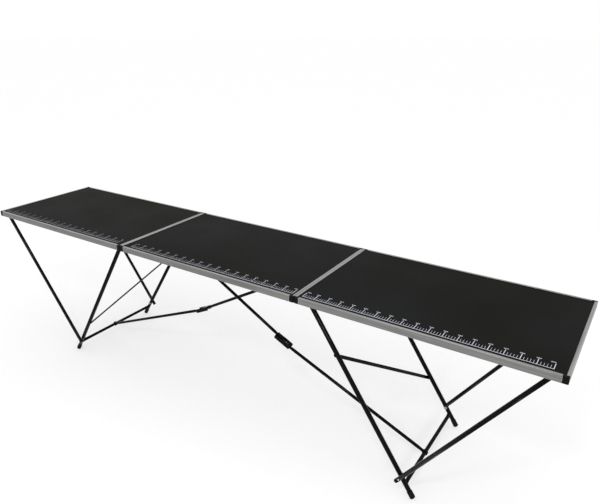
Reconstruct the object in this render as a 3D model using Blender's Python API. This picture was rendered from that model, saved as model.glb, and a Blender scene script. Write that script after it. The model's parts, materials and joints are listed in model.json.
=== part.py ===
"""Three-panel folding pasting table: aluminium-edged boards on tubular folding legs.

Metres, +Z up, +X along the table, the user stands at -Y. The floor is z = 0.
"""
from math import asin, atan2, cos, hypot, pi, sin

import bmesh
import bpy
from mathutils import Matrix, Vector

# Table
PANEL_LENGTH = 0.973
TABLE_WIDTH = 0.584
TABLE_HEIGHT = 0.749
JOINT_GAP = 0.0006
CLEARANCE = 0.0003

# Aluminium edge rail: a C section with a lip that carries the board
RAIL_HEIGHT = 0.026
RAIL_FLANGE = 0.010
RAIL_WALL = 0.0015
RAIL_LIP = 0.008
BOARD_THICKNESS = 0.004

# Moulded corner caps
CAP_LENGTH = 0.020
CAP_DEPTH = 0.010
CAP_CORNER_RADIUS = 0.004
TONGUE_LENGTH = 0.009
TONGUE_THICKNESS = 0.005
TONGUE_OVERLAP = 0.002

# Strip hinge under each joint
KNUCKLE_RADIUS = 0.0035
HINGE_PIN_RADIUS = 0.0016
HINGE_BORE_CLEARANCE = 0.0003
LEAF_THICKNESS = 0.0015
LEAF_REACH = 0.024
HINGE_END_INSET = 0.087
HINGE_KNUCKLES = 5

# Leg frame at each end
LEG_DIAMETER = 0.019
LEG_WALL = 0.0015
LEG_PIVOT_INSET = 0.039
PIVOT_DEPTH = 0.016
FOOT_REACH = 0.483
AXLE_DIAMETER = 0.010
COLLAR_DIAMETER = 0.0155
CROSSBAR_DIAMETER = 0.016
CROSSBAR_FROM_FOOT = 0.065
FOOT_CAP_DIAMETER = 0.022
FOOT_CAP_LENGTH = 0.030
FOOT_CAP_BASE = 0.003
FOOT_CAP_ROUND = 0.003
DIAGONAL_WIDTH = 0.020
DIAGONAL_THICKNESS = 0.003
DIAGONAL_HIGH_ALONG = 0.242
DIAGONAL_LOW_ALONG = 0.620
DIAGONAL_END = 0.005

# Struts that hook onto studs on the outer sides of the legs
STRUT_DIAMETER = 0.017
STRUT_WALL = 0.0015
STRUT_PIVOT_INSET = 0.044
STRUT_SIDE_GAP = 0.0022
STRUT_RAIL_GAP = 0.0023
STRUT_TAIL = 0.022
HOOK_ABOVE_CROSSBAR = 0.035
STUD_DIAMETER = 0.008
STUD_HEAD_DIAMETER = 0.014
STUD_HEAD_THICKNESS = 0.0025
HOOK_SLOT_REACH = 0.040

# Long braces from the middle panel to the leg crossbars, with a knuckle half way
BRACE_BAR_INSET = 0.078
BRACE_BAR_DIAMETER = 0.012
BRACE_BAR_DEPTH = 0.0165
BRACE_ROD_DIAMETER = 0.013
BRACE_Y = {1: -0.040, -1: -0.006}
BRACE_TAIL = 0.010
EYE_WALL = 0.0038
EYE_WIDTH = 0.012
KNUCKLE_INSET = 0.227
KNUCKLE_DROP = 0.394
CHANNEL_LENGTH = 0.088
CHANNEL_WALL = 0.0012
CHANNEL_SKIRT = 0.009
WELD_DEPTH = 0.0006
WEB_SETBACK = 0.008

# Facets round a tube or a pin
TUBE_SIDES = 16
ROD_SIDES = 12
DOME_RINGS = 3
SLOPE_ROUNDS = 20
CORNER_STEPS = 3
KNUCKLE_STEPS = 10

# Places worked out from the sizes above
SIDES = {1: "right", -1: "left"}
HALF_PANEL = (PANEL_LENGTH - JOINT_GAP) / 2
HALF_WIDTH = TABLE_WIDTH / 2
JOINT_X = PANEL_LENGTH / 2
RAIL_BOTTOM = TABLE_HEIGHT - RAIL_HEIGHT
BOARD_TOP = TABLE_HEIGHT - RAIL_WALL - CLEARANCE
LIP_TOP_DEPTH = RAIL_WALL + BOARD_THICKNESS + 2 * CLEARANCE
RAIL_INSIDE = HALF_WIDTH - RAIL_WALL - CLEARANCE
HINGE_Z = RAIL_BOTTOM - CLEARANCE - KNUCKLE_RADIUS
PIVOT_Z = TABLE_HEIGHT - PIVOT_DEPTH
HINGE_WIDTH = TABLE_WIDTH - 2 * HINGE_END_INSET
STRUT_Y = HALF_WIDTH - RAIL_FLANGE - STRUT_RAIL_GAP - STRUT_DIAMETER / 2
LEG_Y = STRUT_Y - STRUT_DIAMETER / 2 - STRUT_SIDE_GAP - LEG_DIAMETER / 2
LEG_PIVOT_X = JOINT_X + LEG_PIVOT_INSET
STRUT_PIVOT_X = JOINT_X + PANEL_LENGTH - STRUT_PIVOT_INSET


def foot_height():
    """Height of the foot cap's end centre when the rim of its end face stands on the floor."""
    rim = (FOOT_CAP_DIAMETER / 2 - FOOT_CAP_ROUND) * cos(pi / TUBE_SIDES)
    height = 0.0
    for _ in range(SLOPE_ROUNDS):
        slope = atan2(FOOT_REACH, PIVOT_Z - height)
        height = rim * sin(slope)
    return height


FOOT_Z = foot_height()
LEG_LENGTH = hypot(FOOT_REACH, PIVOT_Z - FOOT_Z)
LEG_SLOPE = atan2(PIVOT_Z - FOOT_Z, FOOT_REACH)
CROSSBAR_ALONG = LEG_LENGTH - CROSSBAR_FROM_FOOT
HOOK_ALONG = CROSSBAR_ALONG - HOOK_ABOVE_CROSSBAR


def leg_direction(side):
    """Unit vector down the leg."""
    return Vector((side * cos(LEG_SLOPE), 0, -sin(LEG_SLOPE)))


def leg_point(side, along, y=0.0):
    """Point on the leg axis plane, measured down the leg from its pivot."""
    return Vector((side * LEG_PIVOT_X, y, PIVOT_Z)) + leg_direction(side) * along


def clear_scene():
    for old in list(bpy.data.objects):
        bpy.data.objects.remove(old, do_unlink=True)


def principled(name, colour, roughness, metallic):
    material = bpy.data.materials.new(name)
    material.use_nodes = True
    shader = material.node_tree.nodes["Principled BSDF"]
    shader.inputs["Base Color"].default_value = (*colour, 1.0)
    shader.inputs["Roughness"].default_value = roughness
    shader.inputs["Metallic"].default_value = metallic
    return material


def joint_empty(name, place, parent=None):
    """An empty on a joint's axis, which carries the pieces that turn there."""
    empty = bpy.data.objects.new(name, None)
    bpy.context.collection.objects.link(empty)
    empty["place"] = place
    empty.location = place
    if parent:
        empty.parent = parent
        empty.location = place - Vector(parent["place"])
    return empty


def piece(name, shape, frame, material=None, smooth=False):
    """Object from a bmesh in table coordinates, hung on its joint's empty."""
    bmesh.ops.recalc_face_normals(shape, faces=shape.faces)
    mesh = bpy.data.meshes.new(name)
    shape.to_mesh(mesh)
    shape.free()
    mesh.transform(Matrix.Translation(-Vector(frame["place"])))
    if smooth:
        mesh.shade_smooth()
        mesh.set_sharp_from_angle(angle=pi / 5)
    if material:
        mesh.materials.append(material)
    built = bpy.data.objects.new(name, mesh)
    bpy.context.collection.objects.link(built)
    built.parent = frame
    return built


def combine(target, tool, operation):
    """Boolean of two pieces, with the tool left in the file as a hidden guide."""
    tool.hide_render = True
    tool.display_type = "WIRE"
    modifier = target.modifiers.new(tool.name, "BOOLEAN")
    modifier.operation = operation
    modifier.solver = "EXACT"
    modifier.object = tool


def prism(outline, place, along, across, up):
    """Closed prism: an outline in (across, up) coordinates carried along a vector."""
    shape = bmesh.new()
    ring = [shape.verts.new(place + across * u + up * w) for u, w in outline]
    face = shape.faces.new(ring)
    swept = bmesh.ops.extrude_face_region(shape, geom=[face])
    moved = [item for item in swept["geom"] if isinstance(item, bmesh.types.BMVert)]
    bmesh.ops.translate(shape, verts=moved, vec=along)
    return shape


def box(low, high):
    """Box between two corners given in any order."""
    outline = [(0, 0), (high[0] - low[0], 0), (high[0] - low[0], high[1] - low[1]), (0, high[1] - low[1])]
    rise = Vector((0, 0, high[2] - low[2]))
    return prism(outline, Vector(low), rise, Vector((1, 0, 0)), Vector((0, 1, 0)))


def turned(profile, start, direction, sides):
    """Surface of revolution from (radius, distance along) pairs that begin and end on the axis."""
    shape = bmesh.new()
    turn = direction.to_track_quat("Z", "Y").to_matrix().to_4x4()
    turn.translation = start
    rings = []
    for radius, along in profile:
        count = sides if radius > 0 else 1
        angles = [2 * pi * (step + 0.5) / sides for step in range(count)]
        ring = [turn @ Vector((radius * cos(a), radius * sin(a), along)) for a in angles]
        rings.append([shape.verts.new(point) for point in ring])
    for lower, upper in zip(rings, rings[1:]):
        for step in range(sides):
            ahead = (step + 1) % sides
            corners = [lower[step % len(lower)], lower[ahead % len(lower)]]
            corners += [upper[ahead % len(upper)], upper[step % len(upper)]]
            shape.faces.new(list(dict.fromkeys(corners)))
    return shape


def cylinder(start, end, radius, sides):
    span = end - start
    profile = [(0, 0), (radius, 0), (radius, span.length), (0, span.length)]
    return turned(profile, start, span.normalized(), sides)


def domed_tube(start, direction, length, radius, wall):
    """Tube with a round closed end centred on its start and an open far end."""
    steps = [pi / 2 * step / DOME_RINGS for step in range(DOME_RINGS + 1)]
    outer = [(radius * sin(a), -radius * cos(a)) for a in steps]
    bore = radius - wall
    inner = [(bore * sin(a), -bore * cos(a)) for a in reversed(steps)]
    return turned(outer + [(radius, length), (bore, length)] + inner, start, direction, TUBE_SIDES)


def across(place, y):
    """The same place at another distance across the table."""
    return Vector((place[0], y, place[2]))


def panel(name, centre_x, frame, materials):
    """One board in its aluminium frame: four rails, a board and four corner caps."""
    top = Vector((centre_x, 0, TABLE_HEIGHT))
    down = Vector((0, 0, -1))
    flange, wall, lip = RAIL_FLANGE, RAIL_WALL, LIP_TOP_DEPTH
    section = [(0, 0), (flange, 0), (flange, wall), (wall, wall), (wall, lip), (RAIL_LIP, lip)]
    section += [(RAIL_LIP, lip + wall), (wall, lip + wall), (wall, RAIL_HEIGHT - wall)]
    section += [(flange, RAIL_HEIGHT - wall), (flange, RAIL_HEIGHT), (0, RAIL_HEIGHT)]
    long_half = HALF_PANEL - CAP_LENGTH - CLEARANCE
    short_half = HALF_WIDTH - CAP_DEPTH - CLEARANCE
    for label, sign in (("front", -1), ("rear", 1)):
        place = top + Vector((-long_half, sign * HALF_WIDTH, 0))
        rail = prism(section, place, Vector((2 * long_half, 0, 0)), Vector((0, -sign, 0)), down)
        piece(f"{name}_{label}_rail", rail, frame, materials["aluminium"])
    for label, sign in (("left_end", -1), ("right_end", 1)):
        place = top + Vector((sign * HALF_PANEL, -short_half, 0))
        rail = prism(section, place, Vector((0, 2 * short_half, 0)), Vector((-sign, 0, 0)), down)
        piece(f"{name}_{label}_rail", rail, frame, materials["aluminium"])

    edge_x = HALF_PANEL - RAIL_WALL - CLEARANCE
    edge_y = HALF_WIDTH - RAIL_WALL - CLEARANCE
    notch_x = HALF_PANEL - CAP_LENGTH - CLEARANCE
    notch_y = HALF_WIDTH - CAP_DEPTH - CLEARANCE
    outline = []
    for sx, sy in ((1, 1), (-1, 1), (-1, -1), (1, -1)):
        corner = [(sx * edge_x, sy * notch_y), (sx * notch_x, sy * notch_y), (sx * notch_x, sy * edge_y)]
        outline += corner if sx * sy > 0 else corner[::-1]
    place = Vector((centre_x, 0, BOARD_TOP))
    board = prism(outline, place, down * BOARD_THICKNESS, Vector((1, 0, 0)), Vector((0, 1, 0)))
    piece(f"{name}_board", board, frame, materials["board"])
    for y_label, sy in (("front", -1), ("rear", 1)):
        for x_label, sx in (("left", -1), ("right", 1)):
            corner = top + Vector((sx * HALF_PANEL, sy * HALF_WIDTH, 0))
            corner_cap(f"{name}_{y_label}_{x_label}_cap", corner, sx, sy, frame, materials["plastic"])


def corner_cap(name, corner, sx, sy, frame, material):
    """Moulded corner with a tongue pushed into each of the two rails that meet there."""
    inward_x, inward_y = Vector((-sx, 0, 0)), Vector((0, -sy, 0))
    radius = CAP_CORNER_RADIUS
    outline = [(CAP_LENGTH, 0), (CAP_LENGTH, CAP_DEPTH), (0, CAP_DEPTH)]
    for step in range(CORNER_STEPS + 1):
        angle = pi / 2 * step / CORNER_STEPS
        outline.append((radius - radius * cos(angle), radius - radius * sin(angle)))
    block = prism(outline, corner, Vector((0, 0, -RAIL_HEIGHT)), inward_x, inward_y)
    cap = piece(name, block, frame, material)
    inner = RAIL_WALL + CLEARANCE
    deep = inner + TONGUE_THICKNESS
    high = Vector((0, 0, -(LIP_TOP_DEPTH + RAIL_WALL + CLEARANCE)))
    low = Vector((0, 0, -(RAIL_HEIGHT - RAIL_WALL - CLEARANCE)))
    long_tongue = box(corner + low + inward_x * (CAP_LENGTH - TONGUE_OVERLAP) + inward_y * inner,
                      corner + high + inward_x * (CAP_LENGTH + TONGUE_LENGTH) + inward_y * deep)
    short_tongue = box(corner + low + inward_y * (CAP_DEPTH - TONGUE_OVERLAP) + inward_x * inner,
                       corner + high + inward_y * (CAP_DEPTH + TONGUE_LENGTH) + inward_x * deep)
    combine(cap, piece(f"{name}_long_tongue", long_tongue, frame), "UNION")
    combine(cap, piece(f"{name}_short_tongue", short_tongue, frame), "UNION")


def hinge_leaf(name, side, outward, first, frame, material):
    """Strip hinge leaf: a plate under the rail with every other knuckle rolled round the axis."""
    axis = Vector((side * JOINT_X, 0, HINGE_Z))
    radius = KNUCKLE_RADIUS
    bottom = radius - LEAF_THICKNESS
    start = radius + CLEARANCE
    half = HINGE_WIDTH / 2
    plate = box(axis + Vector((outward * start, -half, bottom)),
                axis + Vector((outward * LEAF_REACH, half, radius)))
    leaf = piece(name, plate, frame, material)
    roll = [(start + LEAF_THICKNESS, radius), (start + LEAF_THICKNESS, bottom)]
    sweep_start = asin(bottom / radius)
    for step in range(KNUCKLE_STEPS + 1):
        angle = sweep_start - (sweep_start + 3 * pi / 2) * step / KNUCKLE_STEPS
        roll.append((radius * cos(angle), radius * sin(angle)))
    pitch = HINGE_WIDTH / HINGE_KNUCKLES
    for index in range(first, HINGE_KNUCKLES, 2):
        low = -half + index * pitch + CLEARANCE / 2
        width = Vector((0, pitch - CLEARANCE, 0))
        knuckle = prism(roll, axis + Vector((0, low, 0)), width, Vector((outward, 0, 0)), Vector((0, 0, 1)))
        combine(leaf, piece(f"{name}_knuckle_{index}", knuckle, frame), "UNION")
    reach = Vector((0, HINGE_WIDTH, 0))
    bore = cylinder(axis - reach, axis + reach, HINGE_PIN_RADIUS + HINGE_BORE_CLEARANCE, ROD_SIDES)
    combine(leaf, piece(f"{name}_bore", bore, frame), "DIFFERENCE")


def strip_hinge(side, middle, outer, material):
    """Two leaves with knuckles in turn and the pin that joins them."""
    name = SIDES[side]
    hinge_leaf(f"{name}_hinge_outer_leaf", side, side, 0, outer, material)
    hinge_leaf(f"{name}_hinge_inner_leaf", side, -side, 1, middle, material)
    axis = Vector((side * JOINT_X, 0, HINGE_Z))
    half = HINGE_WIDTH / 2
    pin = cylinder(across(axis, -half), across(axis, half), HINGE_PIN_RADIUS, ROD_SIDES)
    piece(f"{name}_hinge_pin", pin, middle, material, smooth=True)


def axle(name, place, diameter, frame, material, collar_y=None):
    """Round bar across a panel between its long rails, with collars outside collar_y."""
    radius, length = diameter / 2, 2 * RAIL_INSIDE
    profile = [(radius, 0), (radius, length)]
    if collar_y:
        wide, depth = COLLAR_DIAMETER / 2, RAIL_INSIDE - collar_y
        profile = [(wide, 0), (wide, depth), (radius, depth)]
        profile += [(radius, length - depth), (wide, length - depth), (wide, length)]
    profile = [(0, 0)] + profile + [(0, length)]
    bar = turned(profile, across(place, -RAIL_INSIDE), Vector((0, 1, 0)), ROD_SIDES)
    piece(name, bar, frame, material, smooth=True)


def hole_across(target, name, place, y, diameter, width, frame):
    """Cross hole through a tube for an axle or a pin, with running clearance."""
    reach = Vector((0, width, 0))
    drill = cylinder(across(place, y) - reach, across(place, y) + reach, diameter / 2 + CLEARANCE, ROD_SIDES)
    combine(target, piece(name, drill, frame), "DIFFERENCE")


def leg_frame(side, frame, panel_frame, materials):
    """Two legs with hook studs, their crossbar, the flat diagonal and the foot caps."""
    name = SIDES[side]
    steel = materials["black steel"]
    direction = leg_direction(side)
    pivot = leg_point(side, 0)
    hook = leg_point(side, HOOK_ALONG)
    tube_length = LEG_LENGTH - FOOT_CAP_BASE - CLEARANCE
    head, shank = STUD_HEAD_DIAMETER / 2, STUD_DIAMETER / 2
    stud_start = LEG_Y - LEG_DIAMETER / 2 - STUD_HEAD_THICKNESS
    stud_length = STRUT_Y + STRUT_DIAMETER / 2 - stud_start
    seat = STUD_HEAD_THICKNESS + LEG_WALL
    stud = [(0, 0), (head, 0), (head, seat), (shank, seat), (shank, stud_length), (0, stud_length)]
    outer, inner = FOOT_CAP_DIAMETER / 2, LEG_DIAMETER / 2 + CLEARANCE
    floor = FOOT_CAP_LENGTH - FOOT_CAP_BASE
    cup = [(0, floor), (inner, floor), (inner, 0), (outer, 0), (outer, FOOT_CAP_LENGTH - FOOT_CAP_ROUND)]
    cup += [(outer - FOOT_CAP_ROUND, FOOT_CAP_LENGTH), (0, FOOT_CAP_LENGTH)]
    mouth = leg_point(side, LEG_LENGTH - FOOT_CAP_LENGTH)
    for label, sign in (("front", -1), ("rear", 1)):
        y = sign * LEG_Y
        tube = domed_tube(across(pivot, y), direction, tube_length, LEG_DIAMETER / 2, LEG_WALL)
        leg = piece(f"{name}_{label}_leg", tube, frame, steel, smooth=True)
        hole_across(leg, f"{leg.name}_axle_hole", pivot, y, AXLE_DIAMETER, LEG_DIAMETER, frame)
        pin = turned(stud, across(hook, sign * stud_start), Vector((0, sign, 0)), ROD_SIDES)
        combine(leg, piece(f"{leg.name}_stud", pin, frame), "UNION")
        cap = turned(cup, across(mouth, y), direction, TUBE_SIDES)
        piece(f"{name}_{label}_foot_cap", cap, frame, materials["rubber"], smooth=True)

    collar_y = LEG_Y + LEG_DIAMETER / 2 + CLEARANCE
    axle(f"{name}_leg_axle", pivot, AXLE_DIAMETER, panel_frame, materials["zinc"], collar_y)
    bar = leg_point(side, CROSSBAR_ALONG)
    reach = LEG_Y - LEG_DIAMETER / 2 - CLEARANCE
    crossbar = cylinder(across(bar, -reach), across(bar, reach), CROSSBAR_DIAMETER / 2, TUBE_SIDES)
    piece(f"{name}_leg_crossbar", crossbar, frame, steel, smooth=True)
    diagonal(side, frame, steel)


def diagonal(side, frame, material):
    """Flat steel bar under the leg plane, high on one leg and low on the other."""
    under = Vector((-side * sin(LEG_SLOPE), 0, -cos(LEG_SLOPE)))
    near_face = LEG_DIAMETER / 2 + CLEARANCE
    high = leg_point(side, DIAGONAL_HIGH_ALONG, -side * LEG_Y)
    low = leg_point(side, DIAGONAL_LOW_ALONG, side * LEG_Y)
    run = (low - high).normalized()
    edge = run.cross(under) * DIAGONAL_WIDTH / 2
    start = high - run * DIAGONAL_END + under * near_face - edge
    reach = low - high + run * 2 * DIAGONAL_END
    section = [(0, 0), (DIAGONAL_WIDTH, 0), (DIAGONAL_WIDTH, DIAGONAL_THICKNESS), (0, DIAGONAL_THICKNESS)]
    bar = prism(section, start, reach, edge.normalized(), under)
    piece(f"{SIDES[side]}_leg_diagonal", bar, frame, material)


def struts(side, frame, panel_frame, materials):
    """Tubular struts from the outer end of a panel, notched to hook over the leg studs."""
    name = SIDES[side]
    pivot = Vector((side * STRUT_PIVOT_X, 0, PIVOT_Z))
    hook = leg_point(side, HOOK_ALONG)
    run = hook - pivot
    half = STUD_DIAMETER / 2 + CLEARANCE
    for label, y in (("front", -STRUT_Y), ("rear", STRUT_Y)):
        length = run.length + STRUT_TAIL
        tube = domed_tube(across(pivot, y), run.normalized(), length, STRUT_DIAMETER / 2, STRUT_WALL)
        strut = piece(f"{name}_{label}_strut", tube, frame, materials["black steel"], smooth=True)
        hole_across(strut, f"{strut.name}_axle_hole", pivot, y, AXLE_DIAMETER, STRUT_DIAMETER, frame)
        notch = box(across(hook, y) - Vector((side * half, STRUT_DIAMETER, half)),
                    across(hook, y) + Vector((side * HOOK_SLOT_REACH, STRUT_DIAMETER, half)))
        combine(strut, piece(f"{strut.name}_notch", notch, frame), "DIFFERENCE")
    collar_y = STRUT_Y + STRUT_DIAMETER / 2 + CLEARANCE
    axle(f"{name}_strut_axle", pivot, AXLE_DIAMETER, panel_frame, materials["zinc"], collar_y)


def brace_places(side):
    """Upper eye, knuckle and lower eye of a brace, in the plane of the table's length."""
    upper = Vector((side * (BRACE_BAR_INSET - JOINT_X), 0, TABLE_HEIGHT - BRACE_BAR_DEPTH))
    knuckle = Vector((side * (JOINT_X - KNUCKLE_INSET), 0, TABLE_HEIGHT - KNUCKLE_DROP))
    return upper, knuckle, leg_point(side, CROSSBAR_ALONG)


def brace_rod(name, eye, far, y, bar_diameter, frame, material):
    """Rod with an eye round a bar at one end and a plain end just past the knuckle."""
    run = far - eye
    bore = bar_diameter / 2 + CLEARANCE
    end = far + run.normalized() * BRACE_TAIL
    start = eye + run.normalized() * bore
    shape = cylinder(across(start, y), across(end, y), BRACE_ROD_DIAMETER / 2, ROD_SIDES)
    rod = piece(name, shape, frame, material, smooth=True)
    half = Vector((0, EYE_WIDTH / 2, 0))
    ring = cylinder(across(eye, y) - half, across(eye, y) + half, bore + EYE_WALL, TUBE_SIDES)
    combine(rod, piece(f"{name}_eye", ring, frame), "UNION")
    drill = cylinder(across(eye, y) - 2 * half, across(eye, y) + 2 * half, bore, TUBE_SIDES)
    combine(rod, piece(f"{name}_bore", drill, frame), "DIFFERENCE")
    return rod


def brace(side, upper_frame, lower_frame, middle, materials):
    """Long brace in two rods; the upper one lies in a channel welded on the end of the lower one.

    The channel's web stops short of the knuckle, so that the upper rod can swing up between the plates.
    """
    name = SIDES[side]
    steel = materials["black steel"]
    upper, knuckle, lower = brace_places(side)
    radius = BRACE_ROD_DIAMETER / 2
    beside = radius + CLEARANCE
    upper_y = BRACE_Y[side] + beside
    lower_y = BRACE_Y[side] - beside
    axle(f"middle_{name}_brace_bar", upper, BRACE_BAR_DIAMETER, middle, materials["zinc"])
    brace_rod(f"{name}_brace_upper", upper, knuckle, upper_y, BRACE_BAR_DIAMETER, upper_frame, steel)
    rod = brace_rod(f"{name}_brace_lower", lower, knuckle, lower_y, CROSSBAR_DIAMETER, lower_frame, steel)

    upper_run = (knuckle - upper).normalized()
    lower_run = (lower - knuckle).normalized()
    run = (upper_run + lower_run).normalized()
    lift = Vector((-side * run.z, 0, side * run.x))
    web = radius + CHANNEL_LENGTH / 2 * abs(upper_run.cross(run).y) + CLEARANCE
    welded, free = -(beside + radius - WELD_DEPTH), beside + radius + CLEARANCE
    left, right, roof = welded - CHANNEL_WALL, free + CHANNEL_WALL, web + CHANNEL_WALL
    section = [(left, -CHANNEL_SKIRT), (left, roof), (right, roof), (right, -CHANNEL_SKIRT)]
    section += [(free, -CHANNEL_SKIRT), (free, web), (welded, web), (welded, -CHANNEL_SKIRT)]
    place = across(knuckle, BRACE_Y[side]) - run * CHANNEL_LENGTH / 2
    channel = prism(section, place, run * CHANNEL_LENGTH, Vector((0, 1, 0)), lift)
    combine(rod, piece(f"{rod.name}_channel", channel, lower_frame), "UNION")
    window = [(welded, web - CLEARANCE), (free, web - CLEARANCE), (free, 2 * roof), (welded, 2 * roof)]
    place = across(knuckle, BRACE_Y[side]) - run * WEB_SETBACK
    opening = prism(window, place, run * CHANNEL_LENGTH, Vector((0, 1, 0)), lift)
    combine(rod, piece(f"{rod.name}_web_cut", opening, lower_frame), "DIFFERENCE")


def end_unit(side, middle, materials):
    """One outer panel with its hinges, leg frame, struts and brace."""
    name = SIDES[side]
    hinge = joint_empty(f"{name}_panel_hinge", Vector((side * JOINT_X, 0, HINGE_Z)), middle)
    leg_pivot = joint_empty(f"{name}_leg_pivot", leg_point(side, 0), hinge)
    strut_pivot = joint_empty(f"{name}_strut_pivot", Vector((side * STRUT_PIVOT_X, 0, PIVOT_Z)), hinge)
    upper, _, lower = brace_places(side)
    upper_pivot = joint_empty(f"{name}_brace_upper_pivot", upper, middle)
    lower_pivot = joint_empty(f"{name}_brace_lower_pivot", lower, leg_pivot)
    panel(name, side * PANEL_LENGTH, hinge, materials)
    strip_hinge(side, middle, hinge, materials["zinc"])
    leg_frame(side, leg_pivot, hinge, materials)
    struts(side, strut_pivot, hinge, materials)
    brace(side, upper_pivot, lower_pivot, middle, materials)


clear_scene()
finishes = {
    "aluminium": principled("aluminium", (0.55, 0.56, 0.55), 0.35, 1.0),
    "board": principled("board", (0.020, 0.020, 0.019), 0.40, 0.0),
    "plastic": principled("plastic", (0.012, 0.012, 0.012), 0.50, 0.0),
    "rubber": principled("rubber", (0.010, 0.010, 0.010), 0.60, 0.0),
    "black steel": principled("black steel", (0.010, 0.010, 0.010), 0.25, 0.0),
    "zinc": principled("zinc", (0.60, 0.60, 0.58), 0.30, 1.0),
}
table = joint_empty("table", Vector((0, 0, 0)))
panel("middle", 0.0, table, finishes)
for table_side in SIDES:
    end_unit(table_side, table, finishes)
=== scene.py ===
"""Folding pasting table: charcoal boards in aluminium rails on black tubular legs.

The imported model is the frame. Metres, +Z up, +X along the table, the user stands at -Y.
A shell is points, the corner indices of all its faces in a row, and each face's count of corners.
"""
import json

import bmesh
import bpy
import numpy as np
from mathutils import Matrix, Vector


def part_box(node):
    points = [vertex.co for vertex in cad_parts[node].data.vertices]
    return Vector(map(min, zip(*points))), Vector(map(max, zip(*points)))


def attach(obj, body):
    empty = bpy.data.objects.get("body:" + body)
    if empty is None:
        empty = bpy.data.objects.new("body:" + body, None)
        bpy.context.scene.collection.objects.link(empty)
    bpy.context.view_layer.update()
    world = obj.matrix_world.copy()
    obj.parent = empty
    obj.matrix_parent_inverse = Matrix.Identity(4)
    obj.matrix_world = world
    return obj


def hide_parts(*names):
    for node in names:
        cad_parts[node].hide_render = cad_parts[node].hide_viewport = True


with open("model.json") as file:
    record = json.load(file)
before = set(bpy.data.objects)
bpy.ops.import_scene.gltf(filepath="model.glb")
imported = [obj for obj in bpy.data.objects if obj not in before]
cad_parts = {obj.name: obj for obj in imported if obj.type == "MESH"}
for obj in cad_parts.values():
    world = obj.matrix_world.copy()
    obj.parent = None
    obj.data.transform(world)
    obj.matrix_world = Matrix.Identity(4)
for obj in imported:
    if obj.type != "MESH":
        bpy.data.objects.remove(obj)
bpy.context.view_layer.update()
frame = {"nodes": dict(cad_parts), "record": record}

# Studio: a white floor that keeps a soft shadow, a plain white world and two soft lamps,
# the key above the front and a lower one at the front right that draws a line of light along the tubes.
FLOOR_HALF = 60.0
FLOOR_COLOUR = (0.985, 0.985, 0.985)
FLOOR_ROUGHNESS = 0.9
FLOOR_GLOW = 0.5
WHITE = (1.0, 1.0, 1.0, 1.0)
LAMPS = {
    "key": ((1.2, -2.6, 3.4), (38.0, 0.0, 20.0), 0.5, 30.0),
    "fill": ((2.7, -2.6, 1.5), (72.5, 0.0, 41.2), 0.5, 26.0),
}


def wire(tree, *pairs):
    """Links each output to the input beside it."""
    for source, target in pairs:
        tree.links.new(source, target)


scene = bpy.context.scene
scene.view_settings.view_transform = "Standard"
world = bpy.data.worlds.new("studio")
scene.world = world
world.use_nodes = True
sky = world.node_tree.nodes["Background"]
sky.inputs["Color"].default_value = WHITE
sky.inputs["Strength"].default_value = 1.0

for name, (place, turn, size, power) in LAMPS.items():
    lamp = bpy.data.lights.new(name, "AREA")
    lamp.shape = "DISK"
    lamp.size = size
    lamp.energy = power
    holder = bpy.data.objects.new(name, lamp)
    holder.location = place
    holder.rotation_euler = np.radians(turn)
    scene.collection.objects.link(holder)

floor_mesh = bpy.data.meshes.new("floor")
floor_corners = FLOOR_HALF * np.array([(-1, -1, 0), (1, -1, 0), (1, 1, 0), (-1, 1, 0)], float)
floor_mesh.from_pydata(floor_corners.tolist(), [], [(0, 1, 2, 3)])
floor_finish = bpy.data.materials.new("floor")
floor_finish.use_nodes = True
floor_tree = floor_finish.node_tree
floor_shader = floor_tree.nodes["Principled BSDF"]
floor_shader.inputs["Base Color"].default_value = (*FLOOR_COLOUR, 1.0)
floor_shader.inputs["Roughness"].default_value = FLOOR_ROUGHNESS
floor_shader.inputs["Specular IOR Level"].default_value = 0.0
white = floor_tree.nodes.new("ShaderNodeEmission")
white.inputs["Color"].default_value = WHITE
ray = floor_tree.nodes.new("ShaderNodeLightPath")
background = ray.outputs["Is Camera Ray"]
for kind in ("Is Glossy Ray", "Is Transmission Ray"):
    either = floor_tree.nodes.new("ShaderNodeMath")
    either.operation = "MAXIMUM"
    wire(floor_tree, (background, either.inputs[0]), (ray.outputs[kind], either.inputs[1]))
    background = either.outputs["Value"]
share = floor_tree.nodes.new("ShaderNodeMath")
share.operation = "MULTIPLY"
share.inputs[1].default_value = FLOOR_GLOW
floor_mix = floor_tree.nodes.new("ShaderNodeMixShader")
wire(floor_tree,
     (background, share.inputs[0]),
     (share.outputs["Value"], floor_mix.inputs["Fac"]),
     (floor_shader.outputs["BSDF"], floor_mix.inputs[1]),
     (white.outputs["Emission"], floor_mix.inputs[2]),
     (floor_mix.outputs["Shader"], floor_tree.nodes["Material Output"].inputs["Surface"]))
floor_mesh.materials.append(floor_finish)
floor = bpy.data.objects.new("floor", floor_mesh)
scene.collection.objects.link(floor)

# Camera: at the photograph's place, turned and tilted as fitted to the corners of the boards.
# The lens and the sensor give the photograph's field of view, with no shift.
CAMERA_PLACE = (1.5684, -1.8986, 1.7240)
CAMERA_TURN = (67.777, 0.208, 33.112)
CAMERA_LENS = 34.234
CAMERA_SENSOR = 36.0

eye = bpy.data.cameras.new("camera")
eye.lens = CAMERA_LENS
eye.sensor_width = CAMERA_SENSOR
eye.sensor_fit = "HORIZONTAL"
camera = bpy.data.objects.new("camera", eye)
camera.location = CAMERA_PLACE
camera.rotation_euler = np.radians(CAMERA_TURN)
scene.collection.objects.link(camera)
scene.camera = camera

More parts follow.
